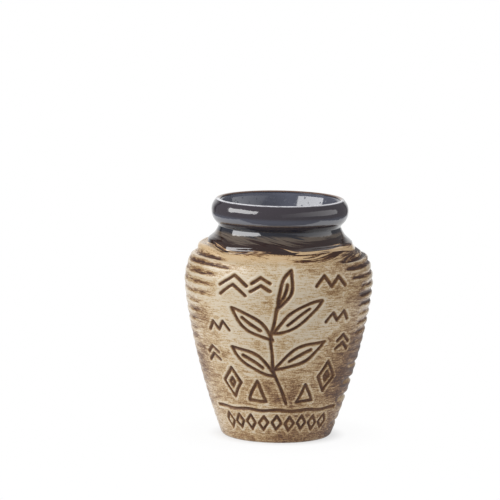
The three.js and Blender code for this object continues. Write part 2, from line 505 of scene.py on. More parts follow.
# Outline of the clay: wall, lip, inside and underside
foot_arc = arc((FOOT_RADIUS, FOOT_ROUNDING), (FOOT_ROUNDING, FOOT_ROUNDING), -90, -WALL_FLARE, FOOT_STEPS)
wall_foot = foot_arc[-1]
shoulder_edge = np.array([BELLY_RADIUS - EDGE_INSET, EDGE])
up_shoulder = up_slope(-SHOULDER_SLOPE)
neck_end = np.array([NECK_RADIUS, NECK])
lower_wall = cubic(
    wall_foot,
    wall_foot + FOOT_TENSION * BELLY * up_slope(WALL_FLARE),
    (BELLY_RADIUS, (1 - BELLY_TENSION) * BELLY),
    (BELLY_RADIUS, BELLY),
)
edge_bend = cubic(
    (BELLY_RADIUS, BELLY),
    (BELLY_RADIUS, BELLY + RISE_TENSION * EDGE_HEIGHT),
    shoulder_edge - EDGE_TENSION * EDGE_HEIGHT * up_shoulder,
    shoulder_edge,
)
shoulder = cubic(
    shoulder_edge,
    shoulder_edge + SHOULDER_TENSION * SHOULDER_HEIGHT * up_shoulder,
    neck_end - NECK_TENSION * SHOULDER_HEIGHT * up_slope(-NECK_LEAN),
    neck_end,
)
shoulder = shoulder[shoulder[:, 1] <= GROOVE]
wall_curve = np.vstack([lower_wall, edge_bend[1:], shoulder[1:]])
wall_length = lengths(wall_curve)[-1]
wall_places = np.linspace(0, wall_length, round(wall_length / WALL_SPACING) + 1)
wall_line = at_lengths(wall_curve, wall_places)
wall_normals = normals(wall_line)

lip_foot = wall_curve[-1]
crest_middle = (LIP_RADIUS - LIP_CREST_INSET, CREST - LIP_EDGE)
crest_arc = arc(crest_middle, (LIP_EDGE, LIP_EDGE), LIP_TILT, 180 - MOUTH_SLOPE, CREST_STEPS)
lip_under = cubic(
    lip_foot,
    lip_foot + LIP_FOOT_PULL,
    (LIP_RADIUS, LIP_WIDEST - LIP_UNDER_PULL),
    (LIP_RADIUS, LIP_WIDEST),
    LIP_STEPS,
)
lip_over = cubic(
    (LIP_RADIUS, LIP_WIDEST),
    (LIP_RADIUS, LIP_WIDEST + LIP_OVER_PULL),
    crest_arc[0] - LIP_CREST_PULL * up_slope(-LIP_TILT),
    crest_arc[0],
    LIP_STEPS,
)
lip_line = np.vstack([lip_under, lip_over[1:], crest_arc[1:]])

throat = CREST - THROAT_DEPTH
mouth_line = cubic(
    lip_line[-1],
    lip_line[-1] - MOUTH_PULL * up_slope(MOUTH_SLOPE),
    (THROAT_RADIUS, throat + THROAT_PULL),
    (THROAT_RADIUS, throat),
    LIP_STEPS,
)
inner_shoulder = cubic(
    (THROAT_RADIUS, throat),
    (THROAT_RADIUS, throat - THROAT_TENSION * (throat - BELLY)),
    (BELLY_RADIUS - WALL, BELLY + INNER_BELLY_TENSION * (throat - BELLY)),
    (BELLY_RADIUS - WALL, BELLY),
    INNER_STEPS,
)
inner_wall = (lower_wall - WALL * normals(lower_wall))[::-INNER_WALL_SKIP]
inner_wall = inner_wall[inner_wall[:, 1] > FLOOR_TOP + FLOOR_FILLET]
inner_foot = inner_wall[-1]
floor_corner = inner_foot[0] - (inner_foot[1] - FLOOR_TOP) * math.tan(math.radians(WALL_FLARE))
floor_edge = (floor_corner - FLOOR_FILLET, FLOOR_TOP)
fillet = curve(inner_foot, (floor_corner, FLOOR_TOP), floor_edge, FILLET_STEPS)
inside_line = np.vstack([mouth_line, inner_shoulder[1:], inner_wall[1:], fillet[1:], [(0, FLOOR_TOP)]])

recess_slope = 2 * FOOT_RECESS
recess_radius = FOOT_RADIUS - FOOT_RING_WIDTH - recess_slope
underside_line = np.vstack([
    [(0, FOOT_RECESS), (recess_radius, FOOT_RECESS)],
    arc((recess_radius, 0), (recess_slope, FOOT_RECESS), 90, 0, RECESS_STEPS)[1:],
    foot_arc[:-1],
])


def glaze_edge(angle):
    """How far up the wall the rim glaze ends, at an angle from the front."""
    wave = GLAZE_WAVE * sum(share * np.sin(count * angle) for share, count in WAVE_SHARES)
    left_rise = GLAZE_LEFT_RISE * smooth(-np.sin(angle), *LEFT_RISE_SIDE)
    right_rise = GLAZE_RIGHT_RISE * band(angle, *RIGHT_RISE_BAND)
    return wall_length - GLAZE_RUN - wave + left_rise + right_rise


def draw_line(name, outline, along):
    """Starts a piece as a line of vertices at the back, extruded point by point from one vertex."""
    places = np.column_stack([np.zeros(len(outline)), outline]) * MM
    bpy.ops.object.select_all(action="DESELECT")
    bpy.ops.mesh.primitive_plane_add(size=MM, location=(0, 0, 0))
    piece = bpy.context.object
    piece.name = piece.data.name = name
    bpy.ops.object.mode_set(mode="EDIT")
    bpy.ops.mesh.select_all(action="SELECT")
    bpy.ops.mesh.merge(type="CENTER")
    bpy.ops.transform.translate(value=places[0])
    for step in np.diff(places, axis=0):
        bpy.ops.mesh.extrude_region_move(TRANSFORM_OT_translate={"value": step})
    bpy.ops.object.mode_set(mode="OBJECT")
    write_mark(piece, "along", along)
    return piece


def turn_round(piece, steps):
    """Turns the piece's line right round the axis, closes it and points its faces outwards."""
    turn = piece.modifiers.new("turn", "SCREW")
    turn.steps = turn.render_steps = steps
    turn.use_merge_vertices = True
    turn.merge_threshold = MERGE_DISTANCE * MM
    bpy.ops.object.modifier_apply(modifier=turn.name)
    bpy.ops.object.mode_set(mode="EDIT")
    bpy.ops.mesh.select_all(action="SELECT")
    bpy.ops.mesh.remove_doubles(threshold=MERGE_DISTANCE * MM)
    bpy.ops.mesh.normals_make_consistent(inside=False)
    bpy.ops.object.mode_set(mode="OBJECT")
    bpy.ops.object.shade_smooth()


def read_points(piece):
    """The piece's points in millimetres."""
    flat = np.empty(3 * len(piece.data.vertices), np.float32)
    piece.data.vertices.foreach_get("co", flat)
    return flat.reshape(-1, 3).astype(float) / MM


def write_points(piece, points):
    """Moves the piece's points to places in millimetres."""
    piece.data.vertices.foreach_set("co", (points * MM).astype(np.float32).ravel())
    piece.data.update()


def read_mark(piece, name):
    """The value that every point keeps under a name."""
    flat = np.empty(len(piece.data.vertices), np.float32)
    piece.data.attributes[name].data.foreach_get("value", flat)
    return flat.astype(float)


def write_mark(piece, name, values):
    """Keeps a value, or a place in millimetres, on every point for the finishes to read."""
    values = np.asarray(values, np.float32)
    if values.ndim == 1:
        piece.data.attributes.new(name, "FLOAT", "POINT").data.foreach_set("value", values)
    else:
        piece.data.attributes.new(name, "FLOAT_VECTOR", "POINT").data.foreach_set("vector", values.ravel())


def angles(points):
    """Angle of each point from the front, positive to the right."""
    return np.arctan2(points[:, 0], -points[:, 1])


def push(points, angle, outward, upward):
    """Moves points away from the axis and up, in millimetres."""
    points[:, 0] += outward * np.sin(angle)
    points[:, 1] -= outward * np.cos(angle)
    points[:, 2] += upward


def crowd_front(points):
    """Moves the columns of a turned piece round the axis, so that most of them are at the front."""
    turn = angles(points)
    front = math.radians(FRONT_ANGLE)
    share = np.abs(turn) / math.pi
    spread = np.interp(share, [0, FRONT_SHARE, 1], [0, front, math.pi]) * np.sign(turn)
    radius = np.hypot(points[:, 0], points[:, 1])
    points[:, 0] = radius * np.sin(spread)
    points[:, 1] = -radius * np.cos(spread)
    return points


def rib_grid(angle, along, right):
    """The rib that each place belongs to, and how many pitches it lies above that rib's valley."""
    place = (along - RIB_START) / RIB_PITCH
    for size, count, rise in RIB_SWAYS:
        place = place + size * np.sin(count * angle + along / rise)
    place = place - LEFT_LIFT * (1 - right) * smooth(along, *LEFT_LIFT_SPAN)
    rib = np.floor(place + RIB_BELOW)
    return rib, place - rib


def rib_reach(angle, along, rib, offset, right):
    """1 where a rib is whole. It fades out beside the panel, above the foot and at the top."""
    left_end = LEFT_END - LEFT_CLOSING * smooth(rib, *LEFT_CLOSING_RIBS)
    right_end = RIGHT_END - RIGHT_CLOSING * smooth(rib, *RIGHT_CLOSING_RIBS)
    end = blend(left_end, right_end, right) + END_STAGGER * np.sin(STAGGER_TURN * rib + np.sin(angle))
    radius = np.interp(along, wall_places, wall_line[:, 0])
    end = np.minimum(end, LAST_END_ANGLE * radius)
    beside_panel = smooth(np.abs(angle) * radius, end, end + blend(LEFT_FADE, RIGHT_FADE, right))
    above_foot = smooth(along, RIB_START - RIB_RAMP, RIB_START + RIB_RAMP)
    below_top = smooth(rib + offset - RIB_TOP, *RIB_TOP_FADE)
    return beside_panel * above_foot * below_top


def rib_waves(angle, rib, waves):
    """How a rib differs from its neighbours, and from place to place on its way round."""
    side = np.sin(angle)
    return sum(size * np.sin(turn * rib + count * angle + sway * side) for size, turn, count, sway in waves)


def rib_depth(angle, rib, offset, right):
    """Depth of a whole rib, which leans in down to its valley and steps out at a ledge below it."""
    low = smooth(rib, *LOW_RIBS)
    step = np.where(np.isin(rib, STEP_RIBS), STEP_DEPTH, BETWEEN_STEPS_DEPTH)
    share = MEAN_DEPTH + rib_waves(angle, rib, DEPTH_WAVES)
    share = share + POOLED_DEPTH * np.isin(rib, POOLED_RIBS) * right
    share = share * blend(1, blend(LOW_LEFT_DEPTH, step, right), low)
    share = share * blend(LEFT_DEPTH, 1, right)
    groove = np.where(offset > 0, smooth(offset, RIB_SLOPE, 0), smooth(offset, -RIB_LEDGE, 0))
    return RIB_DEPTH * groove * np.clip(share, 0, DEPTH_LIMIT)


def rib_wash(angle, rib, offset, right):
    """Wash on a whole rib, from 0 to 1, or below 0 on the ridges, where it is wiped off and a highlight is
    painted, and on the lips of the low steps, where a highlight is painted.
    """
    low = smooth(rib, *LOW_RIBS)
    top = smooth(rib, *TOP_RIBS)
    pooled = np.isin(rib, POOLED_RIBS)
    broad = band(offset, *BROAD_WASH)
    left_spread = blend(band(offset, *SOFT_WASH), broad, top)
    spread = blend(left_spread, band(offset, *CRISP_WASH), right)
    spread = np.where(pooled & (right > 0.5), broad, spread)

    amount = blend(LEFT_WASH, RIGHT_WASH, right) + UPPER_WASH * smooth(rib, *UPPER_RIBS)
    amount = amount + rib_waves(angle, rib, WASH_WAVES) + POOLED_WASH * pooled * right
    left_limit = blend(LEFT_WASH_LIMIT, TOP_WASH_LIMIT, top)
    amount = np.minimum(amount, blend(left_limit, RIGHT_WASH_LIMIT, right))
    amount = amount * (1 - FAR_LEFT_LOSS * smooth(-np.sin(angle), *FAR_LEFT))
    amount = amount * (1 - blend(LOW_LEFT_LOSS, 1, right) * smooth(rib, *LOW_WASH_RIBS))
    amount = amount * (1 - LEFT_LOSS * (1 - right) * (1 - top))

    # Ridges lose wash: partly wiped oxide, partly a painted highlight on their crests
    ridge = np.where(offset > 0, smooth(offset, *RIDGE_ABOVE), smooth(offset, *RIDGE_BELOW))
    left_wipe = LEFT_WIPE * smooth(rib, *LEFT_WIPE_RIBS)
    right_ridge_wipe_and_highlight = np.where(rib > LAST_LOW_RIB, RIGHT_RIDGE_WIPE_AND_HIGHLIGHT, LOW_RIDGE_WIPE_AND_HIGHLIGHT * low)
    # Painted highlight: the lips of the low steps are paler, where they catch the light
    step_highlight = band(offset, *STEP_LIP_HIGHLIGHT_BAND) * np.isin(rib, STEP_RIBS)
    wiped_and_highlighted = ridge * blend(left_wipe, right_ridge_wipe_and_highlight, right) + STEP_LIP_HIGHLIGHT * step_highlight * right * low
    return spread * np.clip(amount, *WASH_RANGE) - wiped_and_highlighted


def ribs(angle, along):
    """How deep the thrown ribs cut at each place, in millimetres, and how much wash lies there."""
    right = smooth(np.sin(angle), *RIGHT_SIDE)
    rib, offset = rib_grid(angle, along, right)
    reach = rib_reach(angle, along, rib, offset, right)
    return rib_depth(angle, rib, offset, right) * reach, rib_wash(angle, rib, offset, right) * reach


def shoulder_ledge(angle, along):
    """How far a thick ledge stands out under the glaze, at the left alone."""
    below_glaze = glaze_edge(angle) - along
    return LEDGE_HEIGHT * band(below_glaze, *LEDGE_BAND) * smooth(-np.sin(angle), *LEDGE_SIDE)


def line(*points):
    """A stroke along straight lines from point to point."""
    return np.array(points, float)


def leaf(base, tip, fullness):
    """The two bent edges of a pointed leaf."""
    base, tip = line(base, tip)
    across = np.array([base[1] - tip[1], tip[0] - base[0]]) * fullness
    middle = (base + tip) / 2
    return [curve(base, middle + across, tip, LEAF_STEPS), curve(base, middle - across, tip, LEAF_STEPS)]


def vein(base, tip):
    """The vein of a leaf, which stops short of its base and its tip."""
    base, tip = line(base, tip)
    return line(*[base + share * (tip - base) for share in VEIN_SHARES])


def zigzag(start, step):
    """A line that goes up and down on its way across."""
    start, step = line(start, step)
    points = [start]
    for turn in range(ZIGZAG_COUNT):
        points.append(points[-1] + step * (1, 1 if turn % 2 == 0 else -1))
    return np.array(points)


def lozenge(middle, half_width, half_height):
    """A closed lozenge that stands on its point."""
    x, y = middle
    foot = (x, y - half_height)
    return line(foot, (x + half_width, y), (x, y + half_height), (x - half_width, y), foot)


def chevrons(middle, half_width, rise, pitch):
    """Bent strokes that point up, one above the other."""
    x, y = middle
    levels = [y + k * pitch for k in range(CHEVRON_COUNT)]
    return [line((x - half_width, foot), (x, foot + rise), (x + half_width, foot)) for foot in levels]


def panel_strokes():
    """A leafy sprig among plain geometric signs."""
    strokes = [curve(*STEM, STEM_STEPS), line(*TOP_VEIN)]
    strokes += leaf(*TOP_LEAF, TOP_LEAF_FULLNESS)
    for base, tip in SIDE_LEAVES:
        strokes += leaf(base, tip, SIDE_LEAF_FULLNESS) + [vein(base, tip)]
    for sign in CHEVRONS:
        strokes += chevrons(*sign)
    strokes += [zigzag(*sign) for sign in ZIGZAGS]
    for middle, half_width, half_height in LOZENGES:
        strokes += [lozenge(middle, half_width, half_height), lozenge(middle, *LOZENGE_EYE)]
    strokes += [line(*corners, corners[0]) for corners in TRIANGLES]
    return strokes


def band_strokes():
    """A line round the front of the foot and a row of lozenges below it."""
    turns = np.radians(np.linspace(-BAND_ANGLE, BAND_ANGLE, BAND_STEPS))
    band_line = line(*[(PANEL_RADIUS * turn, BAND_HEIGHT) for turn in turns])
    counts = range(-ROW_SIDE_COUNT, ROW_SIDE_COUNT + 1)
    return [band_line] + [lozenge((ROW_PITCH * k, ROW_HEIGHT), *ROW_LOZENGE) for k in counts]


def stroke_gap(points, strokes):
    """Distance of each point from the edge of the nearest stroke, negative inside it."""
    nearest = np.full(len(points), float(CARVE_FAR))
    for stroke in strokes:
        for start, end in zip(stroke[:-1], stroke[1:]):
            run = end - start
            share = np.clip((points - start) @ run / (run @ run), 0, 1)
            gap = np.linalg.norm(points - start - share[:, None] * run, axis=1)
            nearest = np.minimum(nearest, gap - CARVE_WIDTH / 2)
    return nearest


def carving(angle, along):
    """Distance from the carved strokes. Slow waves in the places make the strokes look hand drawn."""
    across = angle * PANEL_RADIUS
    places = np.column_stack([
        across + HAND_SWAY * np.sin(along / HAND_SHORT_WAVES[0] + across / HAND_LONG_WAVES[0]),
        along + HAND_SWAY * np.sin(across / HAND_SHORT_WAVES[1] - along / HAND_LONG_WAVES[1]),
    ])
    near = (np.abs(angle) < math.radians(PANEL_ANGLE)) & (along > PANEL_LOW) & (along < PANEL_HIGH)
    gap = np.full(len(places), float(CARVE_FAR))
    gap[near] = stroke_gap(places[near], panel_strokes() + band_strokes())
    return gap


def skin_places(angle, along):
    """Places on the skin for wiped and brushed streaks, which run round the cup without a seam."""
    return np.column_stack([PANEL_RADIUS * np.sin(angle), -PANEL_RADIUS * np.cos(angle), along])


def brushed(angle, along):
    """Distance up the wall along brush strokes, which sink to the right across the front."""
    return along + BRUSH_FALL * np.sin(angle + BRUSH_TURN) + BRUSH_WAVE * np.sin(BRUSH_WAVE_COUNT * angle)


def make_clay():
    """The clay: its outline turned round, crowded at the front, then ribbed and carved.

    Under the glaze it has fewer rings, because the coats hide it there.
    """
    hidden_lip = lip_line[HIDDEN_LIP_SKIP - 1::HIDDEN_LIP_SKIP]
    hidden_inside = inside_line[::HIDDEN_INSIDE_SKIP]
    outline = np.vstack([underside_line, wall_line, hidden_lip, hidden_inside, inside_line[-1:]])
    along = np.full(len(outline), OFF_WALL)
    wall_start = len(underside_line)
    along[wall_start:wall_start + len(wall_line)] = wall_places
    piece = draw_line("clay_cup", outline, along)
    turn_round(piece, CLAY_STEPS)

    points = crowd_front(read_points(piece))
    along = read_mark(piece, "along")
    angle = angles(points)
    on_wall = along >= 0
    depth, wash = ribs(angle, along)
    gap = carving(angle, along)
    carve = CARVE_DEPTH * smooth(gap, *CARVE_EDGE) - BURR_HEIGHT * band(gap, *BURR_BAND)
    sink = np.where(on_wall, depth - shoulder_ledge(angle, along) + carve, 0)
    out_radius = np.interp(along, wall_places, wall_normals[:, 0])
    out_height = np.interp(along, wall_places, wall_normals[:, 1])
    push(points, angle, -sink * out_radius, -sink * out_height)
    write_points(piece, points)

    sweep = brushed(angle, along) - BRUSH_RISE * band(angle, *BRUSH_RISE_BAND)
    write_mark(piece, "rib", np.where(on_wall, wash, 0))
    write_mark(piece, "carve", np.where(on_wall, gap, CARVE_FAR))
    write_mark(piece, "shore", np.where(on_wall, glaze_edge(angle) - along, SHORE_FAR))
    write_mark(piece, "skin", skin_places(angle, np.where(on_wall, along, points[:, 2])))
    write_mark(piece, "sweep", skin_places(angle, sweep))
    return piece


def fill_groove(neck, lip):
    """Joins the glaze on the neck to the glaze on the lip with a soft hollow, where it has pooled."""
    neck = neck[neck[:, 1] < GROOVE - GROOVE_FILL]
    lip = lip[lip[:, 1] > GROOVE + GROOVE_FILL / 2]
    neck_run = neck[-1] - neck[-2]
    lip_run = lip[1] - lip[0]
    steps = np.linalg.solve(np.column_stack([neck_run, lip_run]), lip[0] - neck[-1])
    corner = neck[-1] + steps[0] * neck_run
    return np.vstack([neck, curve(neck[-1], corner, lip[0], GROOVE_STEPS)[1:-1], lip])


def rim_thickness(run):
    """Thickness of the rim glaze: a thin edge, a thick roll above it, then an even coat."""
    roll_top = ROLL_START + ROLL_RISE
    film = EDGE_FILM * smooth(run, *EDGE_FILM_SPAN) + ROLL_FILM * smooth(run, ROLL_START, roll_top)
    film = film - ROLL_SETTLING * smooth(run, roll_top, ROLL_END)
    return GLAZE_LIFT + (GLAZE_SEAT + GLAZE) * film


def make_rim_coat():
    """The dipped glaze over the lip, neck and shoulder, thinning out to a wavy lower edge."""
    edge = wall_length - GLAZE_RUN
    neck = at_lengths(wall_curve, np.linspace(edge, wall_length, NECK_STEPS))
    surface = np.vstack([neck[:-1], lip_line])
    out = normals(surface)
    run = lengths(surface)
    over = surface + rim_thickness(run)[:, None] * out
    over[0] = surface[0] + GLAZE_LIFT * out[0]
    over = fill_groove(over[:len(neck) - 1], over[len(neck) - 1:])
    under = surface - GLAZE_UNDER * out
    over_run = lengths(over)
    outline = np.vstack([over, under[::-1], over[:1]])
    piece = draw_line("rim_coat", outline, np.concatenate([over_run, run[::-1], over_run[:1]]))
    turn_round(piece, COAT_STEPS)

    points = read_points(piece)
    along = read_mark(piece, "along")
    angle = angles(points)
    # The wave slides the lower edge up and down the shoulder and fades out at the neck
    slide = (glaze_edge(angle) - edge) * (1 - smooth(along, 0, GLAZE_RUN))
    places = edge + np.clip(along, 0, GLAZE_RUN)
    shift = at_lengths(wall_curve, places + slide) - at_lengths(wall_curve, places)
    push(points, angle, shift[:, 0], shift[:, 1])
    # Brush streaks stand up a little on the shoulder
    sweep = brushed(angle, along)
    streak = STREAK_HEIGHT * np.sin(2 * math.pi * sweep / STREAK_PITCH) * band(along, *STREAK_BAND)
    push(points, angle, streak * up_shoulder[1], streak * -up_shoulder[0])
    write_points(piece, points)

    crest_run = over_run[np.argmax(over[:, 1])]
    write_mark(piece, "skin", skin_places(angle, sweep))
    write_mark(piece, "crest", along - crest_run)
    return piece


def make_lining():
    """The glaze poured into the inside, closed at the middle of the floor."""
    out = normals(inside_line)
    over = inside_line + (GLAZE_SEAT + GLAZE) * out
    under = inside_line - GLAZE_UNDER * out
    over[-1, 0] = under[-1, 0] = 0
    outline = np.vstack([under[::-1], over])
    run = lengths(inside_line)
    piece = draw_line("lining_coat", outline, np.concatenate([run[::-1], run]))
    turn_round(piece, COAT_STEPS)
    return piece


class Socket:
    """An output of a shader node. Sums on it, written as Python expressions, become Math nodes."""

    def __init__(self, finish, output):
        self.finish = finish
        self.output = output

    def _math(self, operation, a, b):
        return self.finish.add("ShaderNodeMath", {"operation": operation}, {0: a, 1: b})

    def __add__(self, other):
        return self._math("ADD", self, other)

    def __sub__(self, other):
        return self._math("SUBTRACT", self, other)

    def __rsub__(self, other):
        return self._math("SUBTRACT", other, self)

    def __mul__(self, other):
        return self._math("MULTIPLY", self, other)

    __radd__ = __add__
    __rmul__ = __mul__


class Finish:
    """A material under construction, or the glow of a lamp or a room. Places in it are in millimetres."""

    def __init__(self, name, glowing=None):
        self.material = glowing or bpy.data.materials.new(name)
        self.material.use_nodes = True
        self.tree = self.material.node_tree
        self.tree.nodes.clear()

    def add(self, kind, settings=None, sockets=None, output=0):
        """Adds a node, its settings first and then its sockets' values or links."""
        node = self.tree.nodes.new(kind)
        for name, value in (settings or {}).items():
            if name == "stops":
                self.set_stops(node.color_ramp, value)
            else:
                setattr(node, name, value)
        for name, value in (sockets or {}).items():
            if isinstance(value, Socket):
                self.tree.links.new(value.output, node.inputs[name])
            else:
                node.inputs[name].default_value = value
        return Socket(self, node.outputs[output]) if node.outputs else None

    @staticmethod
    def set_stops(ramp, stops):
        while len(ramp.elements) < len(stops):
            ramp.elements.new(1)
        for element, (place, colour) in zip(ramp.elements, stops):
            element.position = place
            element.color = colour

    def place(self):
        """Place on the piece."""
        metres = self.add("ShaderNodeTexCoord", output="Object")
        return self.add("ShaderNodeVectorMath", {"operation": "SCALE"}, {0: metres, "Scale": 1 / MM})

    def axis(self, place, name):
        return self.add("ShaderNodeSeparateXYZ", None, {0: place}, output=name)

    def mark(self, name, output="Fac"):
        return self.add("ShaderNodeAttribute", {"attribute_name": name}, output=output)

    def ray(self, name):
        return self.add("ShaderNodeLightPath", output=name)

    def noise(self, place, size, detail=2, roughness=0.5, shift=(0, 0, 0)):
        """Soft noise with features of about this size along x, y and z."""
        scale = [1 / s for s in size]
        vector = self.add("ShaderNodeMapping", None, {"Vector": place, "Scale": scale, "Location": shift})
        return self.add("ShaderNodeTexNoise", None, {
            "Vector": vector, "Scale": 1.0, "Detail": detail, "Roughness": roughness,
        })

    def step(self, value, low, high, top=1.0):
        """A soft step from 0 where the value is low to top where it is high."""
        return self.add("ShaderNodeMapRange", {"interpolation_type": "SMOOTHSTEP"}, {
            "Value": value, "From Min": low, "From Max": high, "To Min": 0.0, "To Max": top,
        })

    def band(self, value, rise, fall):
        """1 between two soft steps and 0 outside them."""
        return self.step(value, *rise) * self.step(value, *fall)

    def mix(self, share, a, b):
        return self.add("ShaderNodeMix", {"data_type": "RGBA"}, {0: share, 6: a, 7: b}, output=2)

    def ramp(self, value, stops):
        """Colours by a value, each given with the value at which it stands."""
        first, last = stops[0][0], stops[-1][0]
        scale = 1 / (last - first)
        shares = [((stop - first) * scale, colour) for stop, colour in stops]
        return self.add("ShaderNodeValToRGB", {"stops": shares}, {0: (value - first) * scale})

    def bump(self, height, distance, strength):
        sockets = {"Height": height, "Distance": distance * MM, "Strength": strength}
        return self.add("ShaderNodeBump", None, sockets)

    def finished(self, shader):
        """Ends the material in a shader."""
        self.add("ShaderNodeOutputMaterial", None, {"Surface": shader})
        return self.material

    def surface(self, sockets):
        """Ends the material in one Principled shader."""
        return self.finished(self.add("ShaderNodeBsdfPrincipled", None, sockets))


def paint(code):
    """A colour from its web code, as a shader takes it."""
    parts = [int(code[k:k + 2], 16) / 255 for k in (1, 3, 5)]
    return (*[c / 12.92 if c <= 0.04045 else ((c + 0.055) / 1.055) ** 2.4 for c in parts], 1.0)


CREAM = paint("#CFC1A8")
SAND = paint("#BFA47A")
TAN = paint("#967447")
BROWN = paint("#6C4728")
DARK_BROWN = paint("#452819")
GOLDEN = paint("#D3B488")
GLAZE_BLACK = paint("#1A1C26")
# grey of the painted reflection on the underside of the lip
GLAZE_REFLECTION_GREY = paint("#4C4E5A")
GLAZE_PLUM = paint("#393339")
GLAZE_BLUE = paint("#5B5E6C")
GLAZE_OLIVE = paint("#62564A")
GLAZE_BROWN = paint("#2A150E")
GLAZE_BREAK = paint("#7A573C")
# colour of the painted highlight on the front of the crest
GLAZE_PAINTED_HIGHLIGHT = paint("#EFEFF3")

# Clay by how much wash lies on it
WASH_COLOURS = ((0.0, CREAM), (0.25, SAND), (0.5, TAN), (0.78, BROWN), (1.0, DARK_BROWN))

# Rim glaze by distance up from its lower edge. The grey band on the underside of the lip is a painted
# reflection
RIM_COLOURS = (
    (-1, GOLDEN),
    (-0.4, GLAZE_BREAK),
    (0.6, GLAZE_BROWN),
    (5.8, GLAZE_BROWN),
    (7.6, GLAZE_OLIVE),
    (9, GLAZE_OLIVE),
    # the neck is black, partly from glaze pooled there and partly as painted shade under the lip
    (10.4, GLAZE_BLACK),
    (12.6, GLAZE_BLACK),
    (15.2, GLAZE_PLUM),
    # painted reflection: a grey band on the underside of the lip
    (16.8, GLAZE_REFLECTION_GREY),
    (17.8, GLAZE_REFLECTION_GREY),
    (19, GLAZE_PLUM),
)


def washed_clay():
    """Cream clay with a brown oxide wash, wiped along the wall and left in the low places. Some of its
    darkening towards the bottom and the right is painted shade, and some of the paleness on the ridges, the
    lips of the low steps and the left ledge is painted highlight.
    """
    f = Finish("washed_clay")
    place = f.place()
    skin = f.mark("skin", "Vector")
    height = f.axis(place, "Z")
    across = f.axis(place, "X")
    shore = f.mark("shore")
    gap = f.mark("carve")
    blotch = f.noise(place, BLOTCH, detail=3)
    patch = f.noise(skin, PATCH, detail=4, roughness=0.6, shift=PATCH_SHIFT)
    wipe = f.noise(skin, WIPE, detail=4, roughness=0.65)
    fine = f.noise(skin, FINE_WIPE, detail=3, roughness=0.6)
    grit = f.noise(place, GRIT)
    sweep = f.noise(f.mark("sweep", "Vector"), SWEEP)

    # Wash by zones of the wall. It grows towards the bottom and the right, partly oxide wash and partly
    # painted shade away from the key light
    low = f.step(height, *LOW_WALL)
    left = f.step(across, *LEFT_FLANK)
    right = f.step(across, *RIGHT_FLANK)
    low_wash_and_shade = LOW_WALL_WASH_AND_SHADE + LOW_RIGHT_WASH_AND_SHADE * f.step(across, *LOW_WALL_ACROSS)
    right_wash_and_shade = RIGHT_FLANK_WASH_AND_SHADE + UNDER_SHOULDER_WASH_AND_SHADE * f.step(height, *UNDER_SHOULDER)
    wash = BARE_WASH + low * low_wash_and_shade + right * right_wash_and_shade + LEFT_FLANK_WASH * left
    wash = wash + FOOT_RING_WASH * f.step(height, *FOOT_RING)
    wash = wash - CARVED_BAND_LOSS * f.step(height, *CARVED_BAND)
    wash = wash + RIGHT_PATCH_WASH_AND_SHADE * right * f.band(height, *RIGHT_PATCH)
    wash = wash + LEFT_PATCH_WASH * left * f.band(height, *LEFT_PATCH)

    # Blotches, wiping and grit
    wash = wash + BLOTCH_WASH * f.step(blotch, *BLOTCH_LEVELS)
    wash = wash + PATCH_WASH * (patch - MEAN_NOISE) * (PATCH_EVERYWHERE + low + right + left)
    wash = wash + WIPE_WASH * (wipe - MEAN_NOISE)
    wash = wash + FINE_WIPE_WASH * (fine - MEAN_NOISE)
    wash = wash + GRIT_WASH * (grit - MEAN_NOISE)

    # Clean edges beside the carved strokes, wash in the ribs and in the strokes
    wash = wash - HALO_LOSS * f.band(gap, *STROKE_HALO) * f.step(patch, *HALO_LEVELS)
    wash = wash + f.mark("rib") * (RIB_WASH + RIB_FINE_WASH * f.step(fine, *RIB_FINE_LEVELS))
    stroke = f.step(gap + STROKE_RAGGED * (grit - MEAN_NOISE), *STROKE_EDGE)
    in_stroke = STROKE_WASH + STROKE_PATCH_WASH * f.step(patch, *STROKE_PATCH_LEVELS)
    in_stroke = in_stroke + STROKE_GRIT_WASH * (grit - MEAN_NOISE)
    wash = wash * (1 - stroke) + stroke * in_stroke

    # A ragged stain and brush streaks below the glaze. At the left they are weaker, where the ledge is tan
    # and its paleness also stands for a painted highlight
    stain = f.step(shore + STAIN_RAGGED * (fine - MEAN_NOISE), *GLAZE_STAIN)
    short_streaks = f.step(sweep, *SHORT_STREAK_LEVELS) * f.step(shore, *SHORT_STREAKS)
    long_streaks = f.step(sweep, *LONG_STREAK_LEVELS) * f.step(shore, *LONG_STREAKS)
    wash = wash + STAIN_WASH * stain * (1 - STAIN_LEFT_HIGHLIGHT * left)
    wash = wash + SHORT_STREAK_WASH * short_streaks * (1 - SHORT_STREAK_LEFT_HIGHLIGHT * left)
    wash = wash + LONG_STREAK_WASH * long_streaks * f.step(across, *LONG_STREAKS_ACROSS)

    colour = f.ramp(wash, WASH_COLOURS)
    golden = f.step(shore, *GOLDEN_SHORE, top=GOLDEN_SHARE) * (1 - stroke)
    colour = f.mix(golden * (1 - f.step(wash, *GOLDEN_UNTIL)), colour, GOLDEN)
    dry = f.step(across, *DRY_ACROSS) * f.step(height, *DRY_HEIGHT)
    coat = CLAY_COAT - f.step(wash, *UNCOATED_WASH, top=WASHED_COAT_LOSS)
    relief = FINE_RELIEF * fine + GRIT_RELIEF * grit + WIPE_RELIEF * wipe
    return f.surface({
        "Base Color": colour,
        "Roughness": CLAY_ROUGHNESS + WASH_ROUGHNESS * f.step(wash, *ROUGH_WASH),
        "Normal": f.bump(relief, CLAY_RELIEF, CLAY_BUMP),
        "Coat Weight": coat * (1 - DRY_COAT_LOSS * dry),
        "Coat Roughness": CLAY_COAT_ROUGHNESS,
    })


